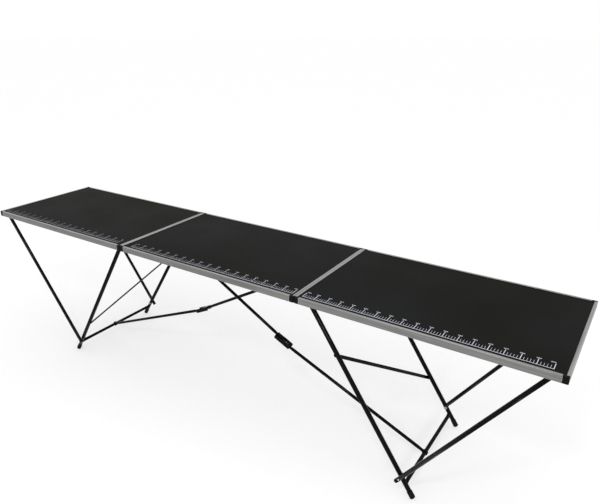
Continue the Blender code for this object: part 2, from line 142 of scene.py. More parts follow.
# Boards: hard fibreboard with a charcoal satin coat, cut to lie on the rails' lips.
# The coat has a fine pebble, a painted sheen of soft bluish patches in its colour and faint wiping marks.
PANELS = {"left": -1, "middle": 0, "right": 1}
BOARD_COLOUR = (0.0063, 0.0057, 0.0038)
BOARD_PAINTED_SHEEN = (0.0128, 0.0140, 0.0147)
BOARD_SPECULAR = 0.012
BOARD_CLOUD_SCALE = 1.1
BOARD_WIPING_SCALE = 5.0
BOARD_ROUGHNESS = (0.40, 0.47)
BOARD_PEBBLE_SCALE = 1400.0
BOARD_PEBBLE = (0.10, 0.0002)
FULL_SPAN = (0.0, 1.0)
GRAIN_DETAIL = 5.0
GRAIN_SPREAD = (0.30, 0.70)


def shader_group(name, inputs, outputs):
    """Node group with named sockets and nothing in it; returns it with its input and output nodes."""
    group = bpy.data.node_groups.new(name, "ShaderNodeTree")
    for label in inputs:
        kind = "NodeSocketVector" if label == "Vector" else "NodeSocketFloat"
        group.interface.new_socket(label, in_out="INPUT", socket_type=kind)
    for label in outputs:
        group.interface.new_socket(label, in_out="OUTPUT", socket_type="NodeSocketFloat")
    return group, group.nodes.new("NodeGroupInput"), group.nodes.new("NodeGroupOutput")


grain_group, grain_in, grain_out = shader_group(
    "surface_grain", ("Vector", "Scale", "Low", "High"), ("Value", "Height"))
noise = grain_group.nodes.new("ShaderNodeTexNoise")
noise.inputs["Detail"].default_value = GRAIN_DETAIL
spread = grain_group.nodes.new("ShaderNodeMapRange")
spread.inputs["From Min"].default_value, spread.inputs["From Max"].default_value = GRAIN_SPREAD
wire(grain_group,
     (grain_in.outputs["Vector"], noise.inputs["Vector"]),
     (grain_in.outputs["Scale"], noise.inputs["Scale"]),
     (noise.outputs["Fac"], spread.inputs["Value"]),
     (grain_in.outputs["Low"], spread.inputs["To Min"]),
     (grain_in.outputs["High"], spread.inputs["To Max"]),
     (spread.outputs["Result"], grain_out.inputs["Value"]),
     (noise.outputs["Fac"], grain_out.inputs["Height"]))


def finish(name, colour, metallic=0.0, specular=0.5):
    """Material with a Principled shader; returns it with its tree, shader and object coordinates."""
    material = bpy.data.materials.new(name)
    material.use_nodes = True
    tree = material.node_tree
    shader = tree.nodes["Principled BSDF"]
    shader.inputs["Base Color"].default_value = (*colour, 1.0)
    shader.inputs["Metallic"].default_value = metallic
    shader.inputs["Specular IOR Level"].default_value = specular
    place = tree.nodes.new("ShaderNodeTexCoord").outputs["Object"]
    return material, tree, shader, place


def grain(tree, place, scale, span, stretch=(1.0, 1.0, 1.0)):
    """One use of the grain group, from low to high, with the pattern stretched along the axes."""
    mapping = tree.nodes.new("ShaderNodeMapping")
    mapping.inputs["Scale"].default_value = stretch
    use = tree.nodes.new("ShaderNodeGroup")
    use.node_tree = grain_group
    use.inputs["Scale"].default_value = scale
    use.inputs["Low"].default_value, use.inputs["High"].default_value = span
    wire(tree, (place, mapping.inputs["Vector"]), (mapping.outputs["Vector"], use.inputs["Vector"]))
    return use.outputs


def tint(tree, shader, mask, first, second):
    """Base colour between two colours by a mask that changes over the surface."""
    mix = tree.nodes.new("ShaderNodeMix")
    mix.data_type = "RGBA"
    mix.inputs["A"].default_value = (*first, 1.0)
    mix.inputs["B"].default_value = (*second, 1.0)
    wire(tree, (mask, mix.inputs["Factor"]), (mix.outputs["Result"], shader.inputs["Base Color"]))


def roughen(tree, shader, place, scale, span, stretch=(1.0, 1.0, 1.0)):
    """Roughness that the grain varies over its span; returns the grain's outputs."""
    marks = grain(tree, place, scale, span, stretch)
    wire(tree, (marks["Value"], shader.inputs["Roughness"]))
    return marks


def relief(tree, shader, height, strength, depth):
    """Bump from a height that changes over the surface."""
    bump = tree.nodes.new("ShaderNodeBump")
    bump.inputs["Strength"].default_value = strength
    bump.inputs["Distance"].default_value = depth
    wire(tree, (height, bump.inputs["Height"]), (bump.outputs["Normal"], shader.inputs["Normal"]))


def recoat(node, material):
    """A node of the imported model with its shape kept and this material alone."""
    node.data.materials.clear()
    node.data.materials.append(material)


board_coat, tree, shader, place = finish("board_coat", BOARD_COLOUR, specular=BOARD_SPECULAR)
# Painted sheen: large bluish patches mixed into the base colour stand for reflections on the coat.
sheen = grain(tree, place, BOARD_CLOUD_SCALE, FULL_SPAN)
tint(tree, shader, sheen["Value"], BOARD_COLOUR, BOARD_PAINTED_SHEEN)
roughen(tree, shader, place, BOARD_WIPING_SCALE, BOARD_ROUGHNESS)
pebble = grain(tree, place, BOARD_PEBBLE_SCALE, FULL_SPAN)
relief(tree, shader, pebble["Height"], *BOARD_PEBBLE)
nodes_of = frame["nodes"]
for panel in PANELS:
    recoat(nodes_of[f"{panel}_board"], board_coat)

# Scale: white ink screen-printed along the front of each board, a baseline with centimetre ticks,
# longer ticks every five centimetres and their numbers, which run on from board to board.
# The print is darker towards the left end.
INK_COLOUR = (0.64, 0.66, 0.74)
INK_WORN = (0.40, 0.41, 0.46)
INK_FAINT = (0.150, 0.155, 0.175)
INK_FAINT_FROM_TO = (0.60, -1.60)
INK_ROUGHNESS = 0.55
INK_SPECULAR = 0.2
INK_WEAR_SCALE = 60.0
INK_WEAR = (0.0, 0.5)
INK_SCREEN_SCALE = 2500.0
INK_SCREEN = (0.1, 0.0001)
INK_THICKNESS = 0.00008
PANEL_LENGTH = 0.973
HALF_PANEL = 0.4862
HALF_WIDTH = 0.292
RAIL_FLANGE = 0.010
SCALE_FROM_END = {"left": 0.0133, "middle": 0.0390, "right": 0.0133}
SCALE_FROM_FRONT = 0.0175
SCALE_MARKS = 90
MARKS_PER_METRE = 100
NUMBER_STEP_PER_BOARD = 100
LONG_EVERY = 5
LINE_WIDTH = 0.0020
LINE_OVERHANG = 0.0001
LONG_TICK = (0.0022, 0.0330)
SHORT_TICK = (0.0010, 0.0190)
NUMBER_SAMPLE = "200"
NUMBER_HEIGHT = 0.0050
NUMBER_WIDTH = 0.0156
NUMBER_RISE = 0.0058
FONT_WEIGHT = 0.024
FONT_STEPS = 3
MERGE_DISTANCE = 1e-7
SHARP_ANGLE = 35.0


def faced(quads, *ends):
    """Faces in a row: the quads' corners and then each end polygon's, with the count of each face."""
    corners = np.concatenate([quads.reshape(-1), *ends]).astype(np.int32)
    counts = np.concatenate([np.full(quads.size // 4, 4), [len(end) for end in ends]])
    return corners, counts.astype(np.int32)


def boxes(low, high):
    """Boxes between rows of low and high corners: corner = low + bit * (high - low) on each axis."""
    bits = np.array([(0, 0, 0), (1, 0, 0), (1, 1, 0), (0, 1, 0), (0, 0, 1), (1, 0, 1), (1, 1, 1), (0, 1, 1)])
    points = (low[:, None, :] + bits[None] * (high - low)[:, None, :]).reshape(-1, 3)
    sides = np.array([(3, 2, 1, 0), (4, 5, 6, 7), (0, 1, 5, 4), (1, 2, 6, 5), (2, 3, 7, 6), (3, 0, 4, 7)])
    return points, *faced(sides[None] + len(bits) * np.arange(len(low))[:, None, None])


def joined(*shells):
    """Several shells as one: each one's corner indices start after the points before it."""
    points, corners, counts = zip(*shells)
    starts = np.cumsum([0] + [len(part) for part in points])
    shifted = [part + start for part, start in zip(corners, starts)]
    return np.concatenate(points), np.concatenate(shifted), np.concatenate(counts)


def solid_mesh(name, shell):
    """Mesh from a shell, with its doubles merged and its faces turned outwards."""
    points, corners, counts = shell
    mesh = bpy.data.meshes.new(name)
    mesh.vertices.add(len(points))
    mesh.vertices.foreach_set("co", points.reshape(-1).astype(np.float32))
    mesh.loops.add(len(corners))
    mesh.loops.foreach_set("vertex_index", corners.astype(np.int32))
    mesh.polygons.add(len(counts))
    mesh.polygons.foreach_set("loop_start", (np.cumsum(counts) - counts).astype(np.int32))
    mesh.update(calc_edges=True)
    shape = bmesh.new()
    shape.from_mesh(mesh)
    bmesh.ops.remove_doubles(shape, verts=shape.verts, dist=MERGE_DISTANCE)
    bmesh.ops.recalc_face_normals(shape, faces=shape.faces)
    shape.to_mesh(mesh)
    shape.free()
    return mesh


def piece(name, shell, material, body, stands_for=None):
    """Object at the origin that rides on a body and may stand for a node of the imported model."""
    mesh = solid_mesh(name, shell)
    mesh.shade_smooth()
    mesh.set_sharp_from_angle(angle=np.radians(SHARP_ANGLE))
    mesh.materials.append(material)
    made = bpy.data.objects.new(name, mesh)
    scene.collection.objects.link(made)
    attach(made, body)
    if stands_for:
        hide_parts(stands_for)
    return made


def overtint(tree, shader, mask, colour):
    """A further colour over the base colour so far, by a mask that changes over the surface."""
    under = shader.inputs["Base Color"].links[0].from_socket
    mix = tree.nodes.new("ShaderNodeMix")
    mix.data_type = "RGBA"
    mix.inputs["B"].default_value = (*colour, 1.0)
    wire(tree, (under, mix.inputs["A"]), (mask, mix.inputs["Factor"]),
         (mix.outputs["Result"], shader.inputs["Base Color"]))


def ramp(tree, value, start, end):
    """A value brought to 0 at start and 1 at end, and held there beyond them."""
    brought = tree.nodes.new("ShaderNodeMapRange")
    brought.inputs["From Min"].default_value = start
    brought.inputs["From Max"].default_value = end
    wire(tree, (value, brought.inputs["Value"]))
    return brought.outputs["Result"]


def axis_of(tree, vector, axis):
    """One coordinate of a vector."""
    split = tree.nodes.new("ShaderNodeSeparateXYZ")
    wire(tree, (vector, split.inputs["Vector"]))
    return split.outputs[axis]


def number_shell(text):
    """Solid digits of a number, one unit thick, in the font's own units."""
    curve = bpy.data.curves.new(text, "FONT")
    curve.body = text
    curve.align_x = "CENTER"
    curve.offset = FONT_WEIGHT
    curve.extrude = 0.5
    curve.resolution_u = FONT_STEPS
    writing = bpy.data.objects.new(text, curve)
    scene.collection.objects.link(writing)
    bpy.context.view_layer.update()
    shaped = writing.evaluated_get(bpy.context.evaluated_depsgraph_get())
    digits = bpy.data.meshes.new_from_object(shaped)
    points = np.empty(len(digits.vertices) * 3, np.float32)
    digits.vertices.foreach_get("co", points)
    corners = np.empty(len(digits.loops), np.int32)
    digits.loops.foreach_get("vertex_index", corners)
    counts = np.empty(len(digits.polygons), np.int32)
    digits.polygons.foreach_get("loop_total", counts)
    bpy.data.objects.remove(writing, do_unlink=True)
    bpy.data.curves.remove(curve)
    bpy.data.meshes.remove(digits)
    return points.reshape(-1, 3).astype(float), corners, counts


ink, tree, shader, place = finish("print_ink", INK_COLOUR, specular=INK_SPECULAR)
shader.inputs["Roughness"].default_value = INK_ROUGHNESS
worn = grain(tree, place, INK_WEAR_SCALE, INK_WEAR)
tint(tree, shader, worn["Value"], INK_COLOUR, INK_WORN)
# The ink's colour goes darker from a point right of the middle towards the left end.
overtint(tree, shader, ramp(tree, axis_of(tree, place, "X"), *INK_FAINT_FROM_TO), INK_FAINT)
screen = grain(tree, place, INK_SCREEN_SCALE, FULL_SPAN)
relief(tree, shader, screen["Height"], *INK_SCREEN)

sample_size = np.ptp(number_shell(NUMBER_SAMPLE)[0], axis=0)
number_scale = np.array([NUMBER_WIDTH, NUMBER_HEIGHT, INK_THICKNESS]) / sample_size
mark = np.arange(SCALE_MARKS + 1)
long_mark = mark % LONG_EVERY == 0
width = np.where(long_mark, LONG_TICK[0], SHORT_TICK[0])
length = np.where(long_mark, LONG_TICK[1], SHORT_TICK[1])
base = -HALF_WIDTH + RAIL_FLANGE + SCALE_FROM_FRONT
line_end = LONG_TICK[0] / 2 + LINE_OVERHANG
for panel, order in PANELS.items():
    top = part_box(f"{panel}_board")[1].z
    start = order * PANEL_LENGTH - HALF_PANEL + RAIL_FLANGE + SCALE_FROM_END[panel]
    x = start + mark / MARKS_PER_METRE
    level = np.full(len(x), top)
    low = np.stack([x - width / 2, np.full(len(x), base), level], 1)
    high = np.stack([x + width / 2, base + length, level + INK_THICKNESS], 1)
    line_low = np.array([[start - line_end, base - LINE_WIDTH, top]])
    line_high = np.array([[x[-1] + line_end, base, top + INK_THICKNESS]])
    shells = [boxes(np.concatenate([line_low, low]), np.concatenate([line_high, high]))]
    for value in mark[long_mark]:
        points, corners, counts = number_shell(str(value + NUMBER_STEP_PER_BOARD * (order + 1)))
        points = points * number_scale
        span = points.max(0) - points.min(0)
        middle = (points.max(0) + points.min(0)) / 2
        aside = {0: span[0] / 2, SCALE_MARKS: -span[0] / 2}.get(int(value), 0.0)
        where = np.array([start + value / MARKS_PER_METRE + aside,
                          base + LONG_TICK[1] + NUMBER_RISE, top + INK_THICKNESS / 2])
        shells.append((points - middle + where, corners, counts))
    piece(f"{panel}_scale_print", joined(*shells), ink, f"{panel}_panel")

# Edge rails: extruded aluminium with a top flange over the board, a lip under it and a bottom flange.
# Mill finish with fine lines along the extrusion and slightly rounded corners.
EDGES = {"front": -1, "rear": 1}
ENDS = {"left": -1, "right": 1}
DOWN = (0, 0, -1)
RAIL_HEIGHT = 0.026
RAIL_WALL = 0.0015
RAIL_LIP = 0.008
LIP_DEPTH = 0.0061
RAIL_CORNER = 0.0009
RAIL_EDGE = 0.0004
TABLE_HEIGHT = 0.749
ALUMINIUM_COLOUR = (0.272, 0.275, 0.267)
ALUMINIUM_DULL = (0.215, 0.218, 0.213)
ALUMINIUM_PAINTED_TOP_LIGHT = (0.400, 0.402, 0.388)
ALUMINIUM_LINE = (0.125, 0.127, 0.124)
ALUMINIUM_EDGE_HIGHLIGHT = (0.76, 0.76, 0.75)
ALUMINIUM_ROUGHNESS = (0.30, 0.46)
DULL_SCALE = 9.0
PAINTED_LIGHT_FACING = (0.60, 0.95)
DIE_LINE_SCALE = 260.0
DIE_LINES = (0.0, 0.70)
DRAWN_SCALE = 900.0
DRAWN_RELIEF = (0.18, 0.0002)
RAIL_EDGE_HIGHLIGHT = (0.0016, 8.0)
LINES_ALONG = (0.01, 1.0, 1.0)
LINES_ACROSS = (1.0, 0.01, 1.0)
CORNER_AGREEMENT = (0.995, 0.86)
PATCH_SPREAD = (0.35, 0.60)


def filleted(corners, radii, steps=4):
    """Outline with each corner P rounded: (1-s)^2 (P + a r) + 2 s (1-s) P + s^2 (P + b r),
    where a and b are unit vectors towards the corners before and after it."""
    corners = np.asarray(corners, float)
    radii = np.broadcast_to(np.asarray(radii, float), len(corners))[:, None]
    before = np.roll(corners, 1, 0) - corners
    after = np.roll(corners, -1, 0) - corners
    before /= np.linalg.norm(before, axis=1, keepdims=True)
    after /= np.linalg.norm(after, axis=1, keepdims=True)
    s = np.linspace(0.0, 1.0, steps + 1)[None, :, None]
    first, last = (corners + before * radii)[:, None], (corners + after * radii)[:, None]
    arcs = (1 - s) ** 2 * first + 2 * s * (1 - s) * corners[:, None] + s ** 2 * last
    return arcs.reshape(-1, corners.shape[1])


def extruded(outline, place, across, up, run):
    """Outline in (across, up) carried along run: P = place + u across + w up + t run, t = 0 and 1."""
    place, across, up = (np.asarray(vector, float) for vector in (place, across, up))
    flat = place + outline[:, :1] * across + outline[:, 1:] * up
    count = len(flat)
    index = np.arange(count)
    ahead = (index + 1) % count
    walls = np.stack([index, ahead, ahead + count, index + count], 1)
    return np.concatenate([flat, flat + np.asarray(run, float)]), *faced(walls, index, index + count)


# Mask along the corners: real wear on the caps and enamel, and a painted highlight on the rails.
edge_group, edge_in, edge_out = shader_group("edge_wear_and_highlight", ("Vector", "Radius", "Breakup"), ("Mask",))
rounded_normal = edge_group.nodes.new("ShaderNodeBevel")
true_normal = edge_group.nodes.new("ShaderNodeNewGeometry")
agreement = edge_group.nodes.new("ShaderNodeVectorMath")
agreement.operation = "DOT_PRODUCT"
patches = edge_group.nodes.new("ShaderNodeTexNoise")
edge_mask = edge_group.nodes.new("ShaderNodeMath")
edge_mask.operation = "MULTIPLY"
wire(edge_group,
     (edge_in.outputs["Radius"], rounded_normal.inputs["Radius"]),
     (rounded_normal.outputs["Normal"], agreement.inputs[0]),
     (true_normal.outputs["Normal"], agreement.inputs[1]),
     (edge_in.outputs["Vector"], patches.inputs["Vector"]),
     (edge_in.outputs["Breakup"], patches.inputs["Scale"]),
     (ramp(edge_group, agreement.outputs["Value"], *CORNER_AGREEMENT), edge_mask.inputs[0]),
     (ramp(edge_group, patches.outputs["Fac"], *PATCH_SPREAD), edge_mask.inputs[1]),
     (edge_mask.outputs["Value"], edge_out.inputs["Mask"]))


def edge_wear_and_highlight(tree, place, radius, breakup):
    """One use of the edge group: a mask along the piece's corners, broken up by noise."""
    use = tree.nodes.new("ShaderNodeGroup")
    use.node_tree = edge_group
    use.inputs["Radius"].default_value = radius
    use.inputs["Breakup"].default_value = breakup
    wire(tree, (place, use.inputs["Vector"]))
    return use.outputs["Mask"]


def extrusion_finish(name, stretch):
    """Mill-finish aluminium with fine lines along one axis, with a painted highlight on the faces turned up
    and along the corners.
    """
    material, tree, shader, place = finish(name, ALUMINIUM_COLOUR, metallic=1.0)
    dull = grain(tree, place, DULL_SCALE, FULL_SPAN)
    tint(tree, shader, dull["Value"], ALUMINIUM_COLOUR, ALUMINIUM_DULL)
    # Painted highlight: faces turned upwards get a lighter colour, as if lit from above.
    facing_up = axis_of(tree, place.node.outputs["Normal"], "Z")
    overtint(tree, shader, ramp(tree, facing_up, *PAINTED_LIGHT_FACING), ALUMINIUM_PAINTED_TOP_LIGHT)
    die_lines = grain(tree, place, DIE_LINE_SCALE, DIE_LINES, stretch)
    overtint(tree, shader, die_lines["Value"], ALUMINIUM_LINE)
    # Painted highlight: a bright colour along the rounded corners stands for the light they catch.
    overtint(tree, shader, edge_wear_and_highlight(tree, place, *RAIL_EDGE_HIGHLIGHT), ALUMINIUM_EDGE_HIGHLIGHT)
    drawn = roughen(tree, shader, place, DRAWN_SCALE, ALUMINIUM_ROUGHNESS, stretch)
    relief(tree, shader, drawn["Height"], *DRAWN_RELIEF)
    return material


rail_along_x = extrusion_finish("rail_lines_along", LINES_ALONG)
rail_along_y = extrusion_finish("rail_lines_across", LINES_ACROSS)
lip_end = LIP_DEPTH + RAIL_WALL
bottom_flange = RAIL_HEIGHT - RAIL_WALL
rail_corners = [(0, 0), (RAIL_FLANGE, 0), (RAIL_FLANGE, RAIL_WALL), (RAIL_WALL, RAIL_WALL),
                (RAIL_WALL, LIP_DEPTH), (RAIL_LIP, LIP_DEPTH), (RAIL_LIP, lip_end), (RAIL_WALL, lip_end),
                (RAIL_WALL, bottom_flange), (RAIL_FLANGE, bottom_flange),
                (RAIL_FLANGE, RAIL_HEIGHT), (0, RAIL_HEIGHT)]
rail_radii = [RAIL_CORNER] + [RAIL_EDGE] * (len(rail_corners) - 2) + [RAIL_CORNER]
rail_outline = filleted(rail_corners, rail_radii)
for panel in PANELS:
    for edge, sign in EDGES.items():
        low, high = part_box(f"{panel}_{edge}_rail")
        shell = extruded(rail_outline, (low.x, sign * HALF_WIDTH, TABLE_HEIGHT),
                         (0, -sign, 0), DOWN, (high.x - low.x, 0, 0))
        piece(f"{panel}_{edge}_edging", shell, rail_along_x, f"{panel}_panel",
              f"{panel}_{edge}_rail")
    for end, sign in ENDS.items():
        low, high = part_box(f"{panel}_{end}_end_rail")
        outer = high.x if sign > 0 else low.x
        shell = extruded(rail_outline, (outer, low.y, TABLE_HEIGHT),
                         (-sign, 0, 0), DOWN, (0, high.y - low.y, 0))
        piece(f"{panel}_{end}_end_edging", shell, rail_along_y, f"{panel}_panel",
              f"{panel}_{end}_end_rail")

# Corner caps: black moulded plastic pressed into the rail ends, flush with their outer faces.
# The outer corner is well rounded, the other edges only broken, and the skin is finely spark-eroded.
CAP_LENGTH = 0.020
CAP_DEPTH = 0.010
CAP_CORNER = 0.0045
CAP_EDGE = 0.0007
CAP_STEPS = 6
CAP_COLOUR = (0.0028, 0.0028, 0.0029)
CAP_RUBBED = (0.0062, 0.0062, 0.0064)
CAP_WORN = (0.030, 0.030, 0.031)
CAP_SPECULAR = 0.05
CAP_RUBBED_SCALE = 120.0
CAP_RUBBED_SPAN = (0.0, 0.8)
CAP_EDGE_WEAR = (0.0012, 90.0)
CAP_MATT_SCALE = 260.0
CAP_ROUGHNESS = (0.42, 0.56)
CAP_SPARK_SCALE = 3200.0
CAP_SPARK = (0.25, 0.0002)


def softened_block(outline, low, high, edge, steps=4):
    """Upright block: rings of the outline from z = low to high, drawn towards its middle near both ends
    by e (1 - sin a) and e (1 - cos a), so that the edges follow quarter circles of radius e."""
    angle = np.linspace(0.0, np.pi / 2, steps + 1)
    inset = np.concatenate([edge * (1 - np.sin(angle)), edge * (1 - np.cos(angle))])
    height = np.concatenate([low + edge * (1 - np.cos(angle)), high - edge * (1 - np.sin(angle))])
    centre = (outline.max(0) + outline.min(0)) / 2
    half = (outline.max(0) - outline.min(0)) / 2
    rings = centre + (outline - centre)[None] * (1 - inset[:, None, None] / half)
    points = np.concatenate([rings, np.broadcast_to(height[:, None, None], (*rings.shape[:2], 1))], 2)
    count, layers = len(outline), len(height)
    index = np.arange(count)
    ahead = (index + 1) % count
    step = (np.arange(layers - 1) * count)[:, None, None]
    walls = np.stack([index, ahead, ahead + count, index + count], 1)[None] + step
    return points.reshape(-1, 3), *faced(walls, index, index + count * (layers - 1))


cap_plastic, tree, shader, place = finish("moulded_plastic", CAP_COLOUR, specular=CAP_SPECULAR)
rubbed = grain(tree, place, CAP_RUBBED_SCALE, CAP_RUBBED_SPAN)
tint(tree, shader, rubbed["Value"], CAP_COLOUR, CAP_RUBBED)
overtint(tree, shader, edge_wear_and_highlight(tree, place, *CAP_EDGE_WEAR), CAP_WORN)
roughen(tree, shader, place, CAP_MATT_SCALE, CAP_ROUGHNESS)
spark = grain(tree, place, CAP_SPARK_SCALE, FULL_SPAN)
relief(tree, shader, spark["Height"], *CAP_SPARK)
cap_corners = np.array([(0, 0), (CAP_LENGTH, 0), (CAP_LENGTH, CAP_DEPTH), (0, CAP_DEPTH)])
for panel, order in PANELS.items():
    for edge, y_sign in EDGES.items():
        for end, x_sign in ENDS.items():
            corner = np.array([order * PANEL_LENGTH + x_sign * HALF_PANEL, y_sign * HALF_WIDTH])
            outline = filleted(corner + np.array([-x_sign, -y_sign]) * cap_corners,
                               [CAP_CORNER, CAP_EDGE, CAP_EDGE, CAP_EDGE], CAP_STEPS)
            shell = softened_block(outline, TABLE_HEIGHT - RAIL_HEIGHT, TABLE_HEIGHT, CAP_EDGE)
            piece(f"{panel}_{edge}_{end}_corner", shell, cap_plastic, f"{panel}_panel",
                  f"{panel}_{edge}_{end}_cap")

# Strip hinges and their rivets: zinc-plated steel under the joints, one leaf on each board.
# The plating is bright and slightly spangled; domed rivets hold the leaves to the end rails.
SIDES = {"right": 1, "left": -1}
ZINC_COLOUR = (0.40, 0.40, 0.39)
ZINC_SPANGLE = (0.31, 0.315, 0.32)
ZINC_SPANGLE_SCALE = 320.0
ZINC_CLOUD_SCALE = 45.0
ZINC_ROUGHNESS = (0.20, 0.34)
ZINC_RELIEF = (0.04, 0.0002)
RIVET_HEAD = (0.0030, 0.0012)
RIVET_SIDES = 20
RIVET_FROM_JOINT = 0.0155
RIVET_PITCH = 0.13
LEAF_THICKNESS = 0.0015
ROUND_SIDES = 48
NEARLY_ALONG_WIDTH = 0.9


def unit(vector):
    """A vector's direction, of length one."""
    return np.asarray(vector, float) / np.linalg.norm(vector)


def turned(profile, start, direction, sides=ROUND_SIDES, closed=False):
    """Surface of revolution: P = start + t d + r (cos a u + sin a v) for profile points (r, t)."""
    profile = np.asarray(profile, float)
    d = unit(direction)
    other = (0.0, 1.0, 0.0) if abs(d[1]) < NEARLY_ALONG_WIDTH else (1.0, 0.0, 0.0)
    u = unit(np.cross(d, other))
    v = np.cross(d, u)
    angle = 2 * np.pi * np.arange(sides) / sides
    ring = np.cos(angle)[:, None] * u + np.sin(angle)[:, None] * v
    points = np.asarray(start, float) + profile[:, None, 1:] * d + profile[:, None, :1] * ring[None]
    index = np.arange(sides)
    ahead = (index + 1) % sides
    rows = np.arange(len(profile) if closed else len(profile) - 1)
    here = rows[:, None] * sides
    there = ((rows + 1) % len(profile))[:, None] * sides
    walls = np.stack([here + index, here + ahead, there + ahead, there + index], 2)
    return points.reshape(-1, 3), *faced(walls)


def dome(radius, height, steps=5):
    """Rivet head profile: r = R sin a, t = h cos a, closed on its flat side."""
    angle = np.linspace(0.0, np.pi / 2, steps + 1)
    return np.stack([np.append(radius * np.sin(angle), 0.0), np.append(height * np.cos(angle), 0.0)], 1)


zinc, tree, shader, place = finish("zinc_plate", ZINC_COLOUR, metallic=1.0)
spangle = grain(tree, place, ZINC_SPANGLE_SCALE, FULL_SPAN)
tint(tree, shader, spangle["Value"], ZINC_COLOUR, ZINC_SPANGLE)
roughen(tree, shader, place, ZINC_CLOUD_SCALE, ZINC_ROUGHNESS)
relief(tree, shader, spangle["Height"], *ZINC_RELIEF)
joints = frame["record"]["behaviour"]["joints"]
pivot = {joint["name"]: np.array(joint["pos_m"], float) for joint in joints}
for side, sign in SIDES.items():
    for part in ("hinge_inner_leaf", "hinge_outer_leaf", "hinge_pin"):
        recoat(nodes_of[f"{side}_{part}"], zinc)
    joint_x = pivot[f"{side}_panel_hinge"][0]
    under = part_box(f"{side}_hinge_inner_leaf")[1].z - LEAF_THICKNESS
    for leaf, way, body in (("inner", -1, "middle_panel"), ("outer", 1, f"{side}_panel")):
        x = joint_x + sign * way * RIVET_FROM_JOINT
        heads = [turned(dome(*RIVET_HEAD), (x, y, under), DOWN, RIVET_SIDES)
                 for y in (-RIVET_PITCH, 0.0, RIVET_PITCH)]
        piece(f"{side}_hinge_{leaf}_rivets", joined(*heads), zinc, body)

# Axles and brace bars: zinc-plated round steel across the boards, between the long rails.
# The axles are turned with collars at their ends, which keep the tubes clear of the rails.
ALONG_WIDTH = (0, 1, 0)
AXLE_RADIUS = 0.005
BRACE_BAR_RADIUS = 0.006
COLLAR_RADIUS = 0.00775
CHAMFER = 0.0006
RAIL_INSIDE = 0.2902
LEG_Y = 0.2510
STRUT_Y = 0.2712
LEG_RADIUS = 0.0095
STRUT_RADIUS = 0.0085
PLAY = 0.0003


def on_middle(joint):
    """A joint's place, moved to the table's middle plane y = 0."""
    return pivot[joint] * (1, 0, 1)


def axle_profile(radius, collar_from=None):
    """Bar of radius r over its length, with wider collars from a distance out, edges chamfered."""
    length = 2 * RAIL_INSIDE
    end = radius if collar_from is None else COLLAR_RADIUS
    half = [(0.0, 0.0), (end - CHAMFER, 0.0), (end, CHAMFER)]
    if collar_from is not None:
        depth = RAIL_INSIDE - collar_from
        half += [(end, depth - CHAMFER), (end - CHAMFER, depth), (radius, depth)]
    half = np.array(half)
    return np.concatenate([half, (half * (1, -1) + (0, length))[::-1]])


for side in SIDES:
    panel = f"{side}_panel"
    bars = [("leg_axle", f"{side}_leg_pivot", panel, AXLE_RADIUS, LEG_Y + LEG_RADIUS + PLAY,
             f"{side}_leg_axle"),
            ("strut_axle", f"{side}_front_strut_pivot", panel, AXLE_RADIUS, STRUT_Y + STRUT_RADIUS + PLAY,
             f"{side}_strut_axle"),
            ("brace_bar", f"{side}_brace_upper_pivot", "middle_panel", BRACE_BAR_RADIUS, None,
             f"middle_{side}_brace_bar")]
    for label, joint, body, radius, collar, node in bars:
        shell = turned(axle_profile(radius, collar), on_middle(joint) - (0, RAIL_INSIDE, 0), ALONG_WIDTH)
        piece(f"{side}_{label}_turned", shell, zinc, body, node)

# Legs: round steel tube with closed round tops on the axle, black gloss enamel all over.
# Each has a stud near its foot for the strut, a welded crossbar and a flat diagonal behind the pair.
ENAMEL_COLOUR = (0.0019, 0.0019, 0.0020)
ENAMEL_RUBBED = (0.0044, 0.0044, 0.0045)
ENAMEL_WORN = (0.060, 0.058, 0.055)
ENAMEL_SPECULAR = 0.05
ENAMEL_SCUFF_SCALE = 35.0
ENAMEL_SCUFF = (0.0, 0.7)
ENAMEL_EDGE_WEAR = (0.0008, 140.0)
ENAMEL_GLOSS_SCALE = 24.0
ENAMEL_ROUGHNESS = (0.05, 0.11)
ENAMEL_PEEL_SCALE = 420.0
ENAMEL_PEEL = (0.06, 0.0003)
TUBE_WALL = 0.0015
CROSSBAR_FROM_FOOT = 0.065
HOOK_ABOVE_CROSSBAR = 0.035
CROSSBAR_RADIUS = 0.008
BEAD_RADIUS = 0.0016
BEAD_STEPS = 12
STUD_RADIUS = 0.004
STUD_HEAD_RADIUS = 0.007
STUD_HEAD = 0.0025
STUD_SIDES = 32
HOLE_SIDES = 32
FOOT_BASE = 0.003
DIAGONAL_HIGH = 0.242
DIAGONAL_LOW = 0.620
DIAGONAL_WIDTH = 0.015
DIAGONAL_THICKNESS = 0.003
DIAGONAL_END = 0.005
DIAGONAL_ROUND = 0.006
DIAGONAL_STEPS = 6
DIAGONAL_RIVET = (0.006, 0.0022)
HEAD_SIDES = 24


def tube_profile(length, radius, wall, steps=10, lip_steps=6):
    """Tube section: round closed end r = R sin a, t = -R cos a, straight wall, rounded open mouth."""
    angle = np.linspace(0.0, np.pi / 2, steps + 1)
    bore = radius - wall
    lip = np.linspace(0.0, np.pi, lip_steps + 1)
    middle = (radius + bore) / 2
    outer = np.stack([radius * np.sin(angle), -radius * np.cos(angle)], 1)
    mouth = np.stack([middle + wall / 2 * np.cos(lip), length - wall / 2 + wall / 2 * np.sin(lip)], 1)
    inner = np.stack([bore * np.sin(angle), -bore * np.cos(angle)], 1)[::-1]
    return np.concatenate([outer, mouth, inner])


